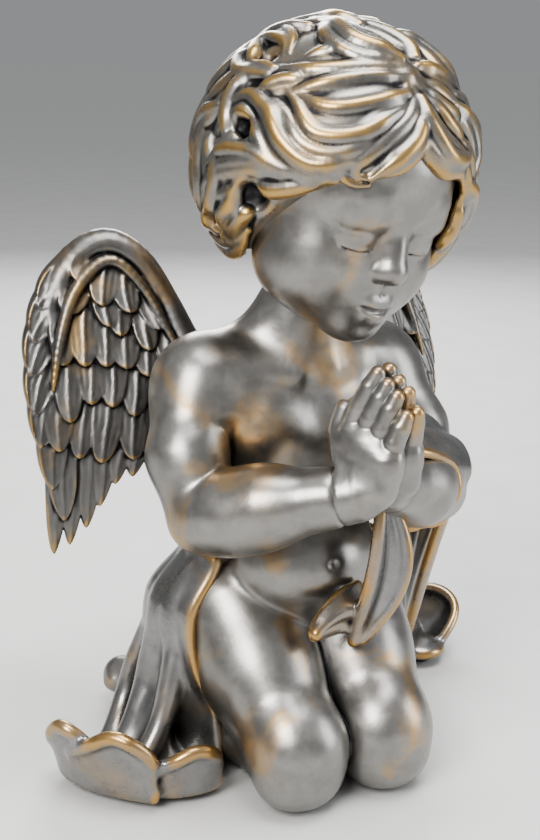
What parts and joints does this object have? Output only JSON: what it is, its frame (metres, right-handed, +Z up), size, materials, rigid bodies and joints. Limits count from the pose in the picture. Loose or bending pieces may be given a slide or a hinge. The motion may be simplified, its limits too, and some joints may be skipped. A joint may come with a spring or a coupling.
{
  "type": "resin angel figurine",
  "caption": "Kneeling praying winged cherub figurine in cast resin, with curled hair, joined hands and drapery over one arm and behind the legs.",
  "frame": {"origin": "under the middle of the object's bounding box, on the surface that it stands on", "axes": "+Z up from the surface to the top of the hair; the figure faces -Y; +X is its own left side"},
  "size_m": [0.1626, 0.124, 0.2207],
  "materials": {
    "skin_resin": "metallic silver paint on cast resin, rubbed with gold on the high places",
    "hair_resin": "metallic silver paint on cast resin, gold on the edges of the locks",
    "wing_resin": "dark silver paint on cast resin with black in the grooves and gold edges",
    "cloth_resin": "metallic silver paint on cast resin with gold hems",
    "pin_steel": "plain",
    "bung": "matt black",
    "felt": "black self-adhesive felt"
  },
  "bodies": {
    "root": {"torso_and_legs": "skin_resin", "right_arm_and_hand": "skin_resin", "left_arm_and_hand": "skin_resin", "head_and_curls": "hair_resin", "right_wing": "wing_resin", "left_wing": "wing_resin", "back_train": "cloth_resin", "elbow_drape": "cloth_resin", "lap_drape": "cloth_resin", "right_wing_pin": "pin_steel", "left_wing_pin": "pin_steel", "neck_pin": "pin_steel", "right_shoulder_pin": "pin_steel", "left_shoulder_pin": "pin_steel", "pour_hole_plug": "bung", "right_knee_pad": "felt", "left_knee_pad": "felt", "right_foot_pad": "felt", "left_foot_pad": "felt", "right_hem_pad": "felt", "left_curl_pad": "felt"}
  },
  "joints": []
}
